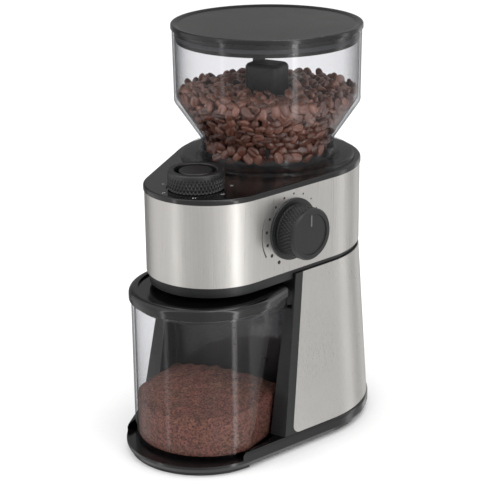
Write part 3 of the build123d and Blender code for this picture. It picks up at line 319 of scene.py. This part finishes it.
beans = {
    "seed": 7,
    "half": (4.9, 3.75, 2.7),  # half length, width and thickness in mm
    "spacing": 7.3,
    "level": 263.0,  # mm above the surface it stands on
    "floor": 213.5,
    "crowd": 6.9,  # closer than this they push apart
    "depth": 11.0,  # only this much of the heap is made, from its outside in
    "wall": ((50.1, 205.0), (50.1, 218.0), (50.9, 225.6), (71.2, 257.2), (71.8, 300.0)),  # radius and height
    "guardHalf": (15.0, 12.0),
}


def beanShape(half, rings=9):
    # a long half-round seed with a crease down its flat side
    around = [math.radians(a) for a in (-90, -76, -58, -30, 0, 32, 62, 90, 118, 148, 180, 210, 238, 256)]
    points, faces = [], []
    for ring in range(1, rings):
        along = math.pi * ring / rings
        girth = math.sin(along) ** 0.8
        for angle in around:
            wide, high = math.cos(angle), math.sin(angle)
            high = high if high > 0 else 0.62 * high
            crease = 0.42 * girth if angle == around[0] else 0.0
            points.append((
                half[0] * math.cos(along), half[1] * girth * wide, half[2] * (girth * high + crease)))
    count = len(around)
    for ring in range(rings - 2):
        for side in range(count):
            a, b = ring * count + side, ring * count + (side + 1) % count
            faces.append((a, b, b + count, a + count))
    tips = len(points)
    points += [(half[0], 0, 0), (-half[0], 0, 0)]
    for side in range(count):
        faces.append((tips, (side + 1) % count, side))
        last = (rings - 2) * count
        faces.append((tips + 1, last + side, last + (side + 1) % count))
    return np.array(points), faces


def wallDistance(radius, height, wall):
    # distance in from the hopper's inner wall, and the way inwards, both in the radius-height plane
    best, inward = 1e9, (-1.0, 0.0)
    for (r0, z0), (r1, z1) in zip(wall, wall[1:]):
        run = (r1 - r0, z1 - z0)
        length = math.hypot(*run)
        share = max(0.0, min(1.0, ((radius - r0) * run[0] + (height - z0) * run[1]) / length ** 2))
        normal = (-run[1] / length, run[0] / length)
        away = (radius - r0 - run[0] * share, height - z0 - run[1] * share)
        signed = away[0] * normal[0] + away[1] * normal[1]
        if abs(math.hypot(*away)) < abs(best):
            best, inward = math.copysign(math.hypot(*away), signed), normal
    return best, inward


def heapTop(x, y, level):
    bumps = 2.2 * math.sin(x / 13 + 1.1) * math.cos(y / 11 - 0.4) + 1.2 * math.sin(x / 6.1 - y / 7.7)
    return level + bumps - 0.045 * max(0.0, math.hypot(x, y) - 30)


def scatterBeans(setup):
    draw = random.Random(setup["seed"])
    step = setup["spacing"] / math.sqrt(2)
    reach = setup["wall"][-1][0]
    places = []
    for i in range(-15, 16):
        for j in range(-15, 16):
            for k in range(0, 14):
                if (i + j + k) % 2:
                    continue
                spot = [i * step, j * step, setup["floor"] + k * step]
                spot = [value + draw.uniform(-1.3, 1.3) for value in spot]
                radius = math.hypot(spot[0], spot[1])
                if radius > reach or spot[2] < setup["floor"] + 1:
                    continue
                inside, _ = wallDistance(radius, spot[2], setup["wall"])
                top = heapTop(spot[0], spot[1], setup["level"]) - spot[2]
                inGuard = (abs(spot[0]) < setup["guardHalf"][0] + 1.5
                           and abs(spot[1]) < setup["guardHalf"][1] + 1.5)
                if inside < 0.6 or top < 0 or inGuard:
                    continue
                if inside < setup["depth"] or top < setup["depth"] or spot[2] < setup["floor"] + 5:
                    places.append(spot)
    # push apart the ones that crowd each other
    spots = np.array(places)
    for _ in range(8):
        tree = kdtree.KDTree(len(spots))
        for index, spot in enumerate(spots):
            tree.insert(spot, index)
        tree.balance()
        shift = np.zeros_like(spots)
        for index, spot in enumerate(spots):
            for other, where, gap in tree.find_range(spot, setup["crowd"]):
                if where != index and gap > 0:
                    shift[index] += (spot - np.array(other)) / gap * (setup["crowd"] - gap) * 0.35
        spots += shift
    return spots


def layBeans(setup):
    draw = random.Random(setup["seed"] + 1)
    shape, faces = beanShape(setup["half"])
    half = np.array(setup["half"])
    points, allFaces, roast = [], [], []
    for spot in scatterBeans(setup):
        radius = math.hypot(spot[0], spot[1]) or 1e-6
        inside, inward = wallDistance(radius, spot[2], setup["wall"])
        outward = np.array((spot[0] / radius * -inward[0], spot[1] / radius * -inward[0], -inward[1]))
        loose = Matrix.Rotation(draw.uniform(0, math.tau), 3, Vector((draw.gauss(0, 1), draw.gauss(0, 1), 1)))
        spin = Matrix.Rotation(draw.uniform(0, math.tau), 3, "Z")
        if inside < 5:  # against the wall a bean lies flat or shows its crease
            facing = Vector(outward) * draw.choice((1, -1))
            tilt = Vector((draw.gauss(0, 0.28), draw.gauss(0, 0.28), draw.gauss(0, 0.28)))
            turn = (facing + tilt).normalized().to_track_quat("Z", "Y").to_matrix() @ spin
        else:
            turn = loose @ spin
        turn = np.array(turn)
        size = draw.uniform(0.9, 1.12)
        stand = np.sqrt(((half * size * (outward @ turn)) ** 2).sum())  # how far it reaches towards the wall
        spot = spot - outward * max(0.0, stand + 0.25 - inside)
        start = len(points) * len(shape)
        points.append(shape * size @ turn.T + spot)
        allFaces += [tuple(start + corner for corner in face) for face in faces]
        roast += [draw.betavariate(2, 2)] * len(shape)
    cloud = np.concatenate(points) * mm + np.array(hopperAxis)
    heap = meshObject("coffee_beans", cloud, allFaces, beanSkin)
    heap.data.attributes.new("roast", "FLOAT", "POINT").data.foreach_set("value", roast)
    print("beans:", len(points))
    return heap


coffeeBeans = layBeans(beans)
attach(coffeeBeans, "hopper")


# ---- ground coffee in the container

grounds = {
    "front": 53.6,  # radius of the round front, just clear of the wall
    "centre": -52.75,
    "back": -20.7,
    "side": 49.8,
    "sideStart": -77.3,
    "floor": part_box("container")[0].z / mm + 2.8,
    "peak": (4.0, -46.0),  # under the chute
    "height": 52.0,
    "fall": 0.2,
    "rings": 70,
    "around": 280,
}


def groundsEdge(setup, angle, centre):
    # how far out the container's inner wall is, from a point inside, going that way
    way = np.array((math.cos(angle), math.sin(angle)))
    near, far = 0.0, 120.0
    for _ in range(26):
        half = (near + far) / 2
        x, y = centre + way * half
        inFront = y > setup["centre"] or math.hypot(x, y - setup["centre"]) < setup["front"]
        side = setup["side"] if y > setup["sideStart"] else setup["front"]
        inside = y < setup["back"] and inFront and abs(x) < side
        near, far = (half, far) if inside else (near, half)
    return near


def heapGrounds(setup):
    draw = np.random.RandomState(11)
    centre = np.array((0.0, -48.0))
    angles = [math.tau * step / setup["around"] for step in range(setup["around"])]
    edge = [groundsEdge(setup, angle, centre) for angle in angles]
    waves = [(draw.uniform(0.08, 0.75), draw.uniform(0, math.tau), draw.uniform(0, math.tau))
             for _ in range(24)]

    def height(x, y):
        away = math.hypot(x - setup["peak"][0], y - setup["peak"][1])
        rise = setup["height"] - setup["fall"] * (math.sqrt(away ** 2 + 100) - 10)
        for pitch, way, phase in waves:
            rise += 0.12 / (0.3 + pitch) * math.sin(pitch * (x * math.cos(way) + y * math.sin(way)) + phase)
        return rise

    points, faces = [], []
    for ring in range(1, setup["rings"] + 1):
        share = ring / setup["rings"]
        for angle, out in zip(angles, edge):
            x, y = centre + np.array((math.cos(angle), math.sin(angle))) * out * share
            points.append((x, y, height(x, y) - (0.8 if ring == setup["rings"] else 0)))
    count, rings = setup["around"], setup["rings"]
    levels = 24  # rows down the side, against the wall
    for row in range(1, levels + 1):
        for side in range(count):
            x, y, top = points[(rings - 1) * count + side]
            points.append((x, y, top + (setup["floor"] - top) * row / levels))
    rows = rings + levels
    for row in range(rows - 1):
        for side in range(count):
            a, b = row * count + side, row * count + (side + 1) % count
            faces.append((a, a + count, b + count, b))
    tip, foot = len(points), len(points) + 1
    points += [(*centre, height(*centre)), (*centre, setup["floor"])]
    for side in range(count):
        faces.append((tip, side, (side + 1) % count))
        faces.append((foot, (rows - 1) * count + (side + 1) % count, (rows - 1) * count + side))
    return meshObject("ground_coffee", np.array(points) * mm, faces, coffeeGrounds)


groundHeap = heapGrounds(grounds)
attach(groundHeap, "grounds_bin")
print("ground coffee heaped")


# ---- knurled knobs

def knurledKnob(name, profile, grip, knurl, seat, axis, material):
    # profile is (radius, height) from the back rim to the middle of the face; its grip is knurled
    count = knurl["teeth"] * 8
    rows = []
    for (r0, h0), (r1, h1) in zip(profile, profile[1:]):
        gripped = abs(r0 - r1) < 0.01 and h0 >= grip[0] - 0.01 and h1 <= grip[1] + 0.01
        steps = int((h1 - h0) / knurl["pitch"] * 8) if gripped else 1
        rows += [(r0, h0 + (h1 - h0) * step / steps, gripped) if gripped else (r0, h0, False)
                 for step in range(steps)]
    rows.append((*profile[-1], False))
    points, faces = [], []
    for radius, height, gripped in rows:
        for side in range(count):
            angle = math.tau * side / count
            cut = 0.0
            if gripped:
                lead = height / knurl["pitch"] * math.tau / 2
                turn = angle * knurl["teeth"]
                cross = abs(math.sin((turn + lead) / 2)) * abs(math.sin((turn - lead) / 2))
                fade = min(1.0, (height - grip[0]) / 0.8, (grip[1] - height) / 0.8)
                cut = knurl["depth"] * (1 - min(1.0, cross * 1.5)) * max(0.0, fade)
            points.append(((radius - cut) * math.cos(angle), (radius - cut) * math.sin(angle), height))
    for row in range(len(rows) - 1):
        for side in range(count):
            a, b = row * count + side, row * count + (side + 1) % count
            faces.append((a, b, b + count, a + count))
    centre = len(points)
    points.append((0, 0, rows[-1][1]))
    last = (len(rows) - 1) * count
    faces += [(centre, last + side, last + (side + 1) % count) for side in range(count)]
    knob = meshObject(name, np.array(points) * mm, faces, material)
    upright = Vector(axis).to_track_quat("Z", "Y").to_matrix().to_4x4()
    knob.data.transform(Matrix.Translation(seat) @ upright)
    knob.data.polygons.foreach_set("use_smooth", [True] * len(knob.data.polygons))
    knob.modifiers.new("crisp_edges", "EDGE_SPLIT").split_angle = math.radians(38)
    return knob


rearRadius, frontRadius, centresApart = 73.0, 49.5, 86.2  # mm, the two circles that round the head's plan
lean = math.asin((rearRadius - frontRadius) / centresApart)  # how far the head's flat side leans
sideway = Vector((math.cos(lean), -math.sin(lean), 0))
bezelMiddle = middle("dial_bezel")
# the dial's seat is level with the bezel's middle, on the steel band's face
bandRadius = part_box("head_band")[1].x
dialSeat = bezelMiddle + sideway * (bandRadius - (bezelMiddle - hopperAxis).dot(sideway))

grindKnob = {
    "profile": (
        (16.0, 1.9), (19.9, 1.9), (19.9, 3.0), (19.9, 17.6), (19.9, 18.9), (18.7, 20.1),
        (15.7, 20.1), (15.4, 19.3), (0.8, 19.3),
    ),
    "grip": (3.0, 17.6),
    "knurl": {"teeth": 44, "pitch": 2.8, "depth": 0.75},
}
cupsKnob = {
    "profile": (
        (18.0, 208.6), (20.6, 208.6), (21.1, 209.6), (21.1, 219.4), (21.1, 222.3), (20.2, 223.2),
        (16.4, 223.2), (15.8, 222.6), (15.7, 217.25), (3.4, 217.25),
    ),
    "grip": (209.6, 219.4),
    "knurl": {"teeth": 46, "pitch": 2.8, "depth": 0.7},
}
grindDial = knurledKnob(
    "grind_dial_knurled", grindKnob["profile"], grindKnob["grip"], grindKnob["knurl"],
    dialSeat, sideway, slotMaterials["black_satin"])
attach(grindDial, "dial")
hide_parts("grind_dial")

cupsAxis = Vector((middle("cups_dial").x, middle("cups_dial").y, 0))
cupsDial = knurledKnob(
    "cups_dial_knurled", cupsKnob["profile"], cupsKnob["grip"], cupsKnob["knurl"],
    cupsAxis, (0, 0, 1), slotMaterials["black_satin"])
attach(cupsDial, "cups_knob")
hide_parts("cups_dial")
print("knobs knurled")


# ---- printed marks

def printedDisc(radius, thick, sides=28):
    # a low dome, as a dot of ink dries
    rings = ((1.0, 0.0), (0.96, 0.7), (0.8, 1.0))
    turns = [math.tau * s / sides for s in range(sides)]
    points = [(radius * r * math.cos(turn), radius * r * math.sin(turn), thick * h)
              for r, h in rings for turn in turns]
    faces = [(row * sides + s, row * sides + (s + 1) % sides, (row + 1) * sides + (s + 1) % sides,
              (row + 1) * sides + s) for row in range(2) for s in range(sides)]
    points.append((0, 0, thick))
    faces += [(2 * sides + s, 2 * sides + (s + 1) % sides, 3 * sides) for s in range(sides)]
    return points, faces


grindMarks = {
    "circle": 27.4,  # mm from the dial's axis to the dots
    "first": 212.3,  # degrees, clockwise from straight up, of the coarsest
    "step": 21.4,
    "count": 11,
    "sizes": (1.55, 0.6),
    "ink": 0.06,
    "arc": (32.2, 240.0, 297.0),  # radius, and the angles it runs between
}


def dialPoint(radius, clock, stand):
    # a point round the grind dial, by clock angle, this far off the steel
    angle = math.radians(clock)
    along = Vector((-sideway.y, sideway.x, 0))
    outward = along * math.sin(angle) + Vector((0, 0, 1)) * math.cos(angle)
    return dialSeat + outward * radius * mm + sideway * stand * mm


def printDots(setup):
    points, faces = [], []
    facing = sideway.to_track_quat("Z", "Y").to_matrix()
    for index in range(setup["count"]):
        share = index / (setup["count"] - 1)
        radius = setup["sizes"][0] + (setup["sizes"][1] - setup["sizes"][0]) * share
        centre = dialPoint(setup["circle"], setup["first"] + setup["step"] * index, 0.02)
        ring, ringFaces = printedDisc(radius, setup["ink"])
        start = len(points)
        points += [centre + facing @ Vector(p) * mm for p in ring]
        faces += [tuple(start + corner for corner in face) for face in ringFaces]
    return meshObject("grind_dots", points, faces, blackInk)


def printArc(setup):
    radius, start, end = setup["arc"]
    points, faces, steps = [], [], 60
    for step in range(steps + 1):
        share = step / steps
        half = 0.12 + 0.55 * (1 - share)  # it tapers from coarse to fine
        clock = start + (end - start) * share
        for out, stand in ((-half, 0.0), (-half, 0.07), (half, 0.07), (half, 0.0)):
            points.append(dialPoint(radius + out, clock, stand))
    for step in range(steps):
        for side in range(4):
            a, b = step * 4 + side, step * 4 + (side + 1) % 4
            faces.append((a, b, b + 4, a + 4))
    faces += [(3, 2, 1, 0), tuple(steps * 4 + corner for corner in range(4))]
    return meshObject("grind_arc", points, faces, greyInk, smooth=False)


for mark in (printDots(grindMarks), printArc(grindMarks)):
    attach(mark, "housing")

cupsMarks = {
    "numbers": (2, 4, 6, 8, 10, 12, 14),
    "first": -150.0,  # degrees round from straight back
    "step": 50.0,
    "circle": 26.6,  # mm from the dial's axis
    "height": 3.4,
}


def printNumbers(setup):
    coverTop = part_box("top_cover")[1].z
    joined = []
    for index, number in enumerate(setup["numbers"]):
        text = bpy.data.curves.new("cups_number", "FONT")
        text.body = str(number)
        text.size = setup["height"] * mm
        text.align_x, text.align_y = "CENTER", "CENTER"
        text.extrude = 0.04 * mm
        turn = math.radians(setup["first"] + setup["step"] * index)
        writing = bpy.data.objects.new("cups_number", text)
        bpy.context.scene.collection.objects.link(writing)
        bpy.context.view_layer.update()
        mesh = bpy.data.meshes.new_from_object(writing.evaluated_get(bpy.context.evaluated_depsgraph_get()))
        radius = setup["circle"] * mm
        spot = Vector((cupsAxis.x + radius * math.sin(turn), cupsAxis.y + radius * math.cos(turn),
                       coverTop + 0.05 * mm))
        mesh.transform(Matrix.Translation(spot) @ Matrix.Rotation(-turn, 4, "Z"))
        joined.append(mesh)
        bpy.data.objects.remove(writing)
    points, faces = [], []
    for mesh in joined:
        start = len(points)
        points += [v.co.copy() for v in mesh.vertices]
        faces += [tuple(start + corner for corner in p.vertices) for p in mesh.polygons]
    return meshObject("cups_numbers", points, faces, paleInk, smooth=False)


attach(printNumbers(cupsMarks), "housing")
print("marks printed")


# ---- studio

studio = {
    "floor": 6.0,  # metres across
    "ringRadius": 0.36,
    "ringHeight": (-0.45, 0.95),
    # brightness of the cards, by share of a turn from -X through -Y, +X and +Y
    "ring": (
        (0.0, 0.5), (0.068, 0.95), (0.149, 0.85), (0.174, 0.85), (0.18, 2.4), (0.188, 2.4),
        (0.194, 0.75), (0.227, 0.68), (0.305, 0.68), (0.37, 0.9), (0.424, 1.0),
        (0.430, 4.4), (0.442, 4.4), (0.449, 1.1), (0.5, 0.85), (0.54, 0.72), (0.578, 0.62), (0.597, 0.8),
        (0.606, 1.6), (0.616, 1.5), (0.64, 0.5), (0.68, 0.45), (0.70, 1.0), (0.76, 0.3), (0.84, 0.25),
        (0.90, 0.3), (0.96, 0.2),
    ),
}


def studioFloor(size):
    material, tree, inMm = startMaterial("seamless_paper")
    mottling = addNode(tree, "TexNoise", inputs={"Vector": inMm, "Scale": 1 / 120, "Detail": 2.0})
    tone = addNode(tree, "Mix", {"data_type": "RGBA"}, {
        0: mottling.outputs["Fac"], 6: toLinear("#efefef"), 7: toLinear("#f2f2f2")})
    paper = addNode(tree, "BsdfPrincipled", inputs={
        "Base Color": tone.outputs[2], "Roughness": 0.95, "Specular IOR Level": 0.0})
    finishMaterial(material, tree, paper.outputs[0])
    half = size / 2
    corners = [(-half, -half, 0), (half, -half, 0), (half, half, 0), (-half, half, 0)]
    floor = meshObject("studio_floor", corners, [(0, 1, 2, 3)], material, smooth=False)
    floor.visible_glossy = False  # the cards below it do for the steel's reflections


def reflectionRing(setup):
    # a band of light and dark cards that only reflections see
    material = bpy.data.materials.new("studio_cards")
    material.use_nodes = True
    tree = material.node_tree
    tree.nodes.clear()
    place = addNode(tree, "TexCoord").outputs["Object"]
    turn = addNode(tree, "TexGradient", {"gradient_type": "RADIAL"}, {"Vector": place})
    ramp = addNode(tree, "ValToRGB", inputs={"Fac": turn.outputs["Fac"]})
    ramp.color_ramp.interpolation = "EASE"
    stops = ramp.color_ramp.elements
    while len(stops) > 1:
        stops.remove(stops[-1])
    for index, (where, level) in enumerate(setup["ring"]):
        stop = stops[0] if index == 0 else stops.new(where)
        stop.position = where
        stop.color = (level, level * 0.995, level * 0.985, 1)
    glow = addNode(tree, "Emission", inputs={"Color": ramp.outputs["Color"], "Strength": 1.0})
    finishMaterial(material, tree, glow.outputs[0])
    count, radius = 96, setup["ringRadius"]
    points = [(radius * math.cos(math.tau * s / count), radius * math.sin(math.tau * s / count), z)
              for z in setup["ringHeight"] for s in range(count)]
    faces = [(s, (s + 1) % count, count + (s + 1) % count, count + s) for s in range(count)]
    ring = meshObject("studio_cards", points, faces, material)
    ring.visible_camera = ring.visible_diffuse = ring.visible_shadow = ring.visible_transmission = False
    material.cycles.emission_sampling = "NONE"


def areaLight(name, size, power, place, aim, colour="#ffffff"):
    data = bpy.data.lights.new(name, "AREA")
    data.shape = "RECTANGLE"
    data.size, data.size_y = size
    data.energy = power
    data.color = toLinear(colour)[:3]
    light = bpy.data.objects.new(name, data)
    light.location = place
    light.rotation_euler = (Vector(aim) - Vector(place)).to_track_quat("-Z", "Y").to_euler()
    bpy.context.scene.collection.objects.link(light)


def studioWorld(level):
    world = bpy.data.worlds.new("studio_world")
    world.use_nodes = True
    tree = world.node_tree
    tree.nodes.clear()
    glow = addNode(tree, "Background", inputs={"Color": toLinear("#ffffff"), "Strength": level})
    addNode(tree, "OutputWorld", inputs={"Surface": glow.outputs[0]})
    bpy.context.scene.world = world


studioFloor(studio["floor"])
reflectionRing(studio)
studioWorld(1.16)
areaLight("key_softbox", (0.7, 0.7), 6, (-0.7, -0.9, 1.2), (0, 0, 0.15))
areaLight("top_softbox", (0.9, 0.9), 4, (0.2, 0.3, 1.5), (0, 0, 0.2))
areaLight("side_softbox", (0.4, 0.8), 2.5, (1.1, -0.3, 0.7), (0, 0, 0.2))
bpy.context.scene.view_settings.view_transform = "Standard"
print("studio lit")
